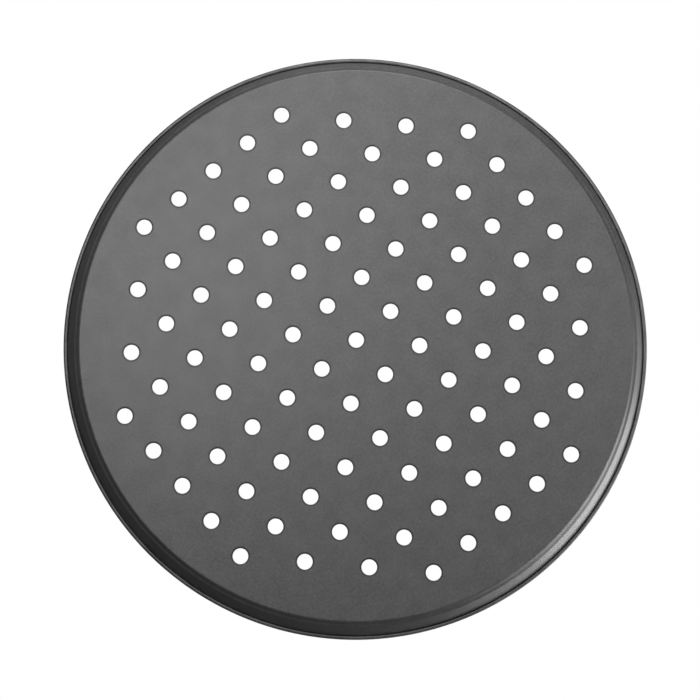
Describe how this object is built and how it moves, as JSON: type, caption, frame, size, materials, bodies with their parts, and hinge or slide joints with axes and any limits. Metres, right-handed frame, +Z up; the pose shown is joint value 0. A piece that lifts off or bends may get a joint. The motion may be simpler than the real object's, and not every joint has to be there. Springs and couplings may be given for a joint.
{
  "type": "pizza pan",
  "caption": "Round shallow pizza pan pressed from dark non-stick steel sheet, with a perforated flat floor, a low stepped and flared wall, and a rim rolled round a stiffening wire.",
  "frame": {"origin": "centre of the floor's underside, on which the pan stands", "axes": "+Z up, out of the open side of the pan; X and Y along the two directions of the square hole pattern"},
  "size_m": [0.32, 0.32, 0.018],
  "materials": {
    "pan_coating": "satin dark grey non-stick coating with a fine grain, baked on steel sheet",
    "wire_steel": "plain drawn steel wire, closed in by the rolled rim"
  },
  "bodies": {
    "root": {"pan_shell": "pan_coating", "rim_wire": "wire_steel"}
  },
  "joints": []
}
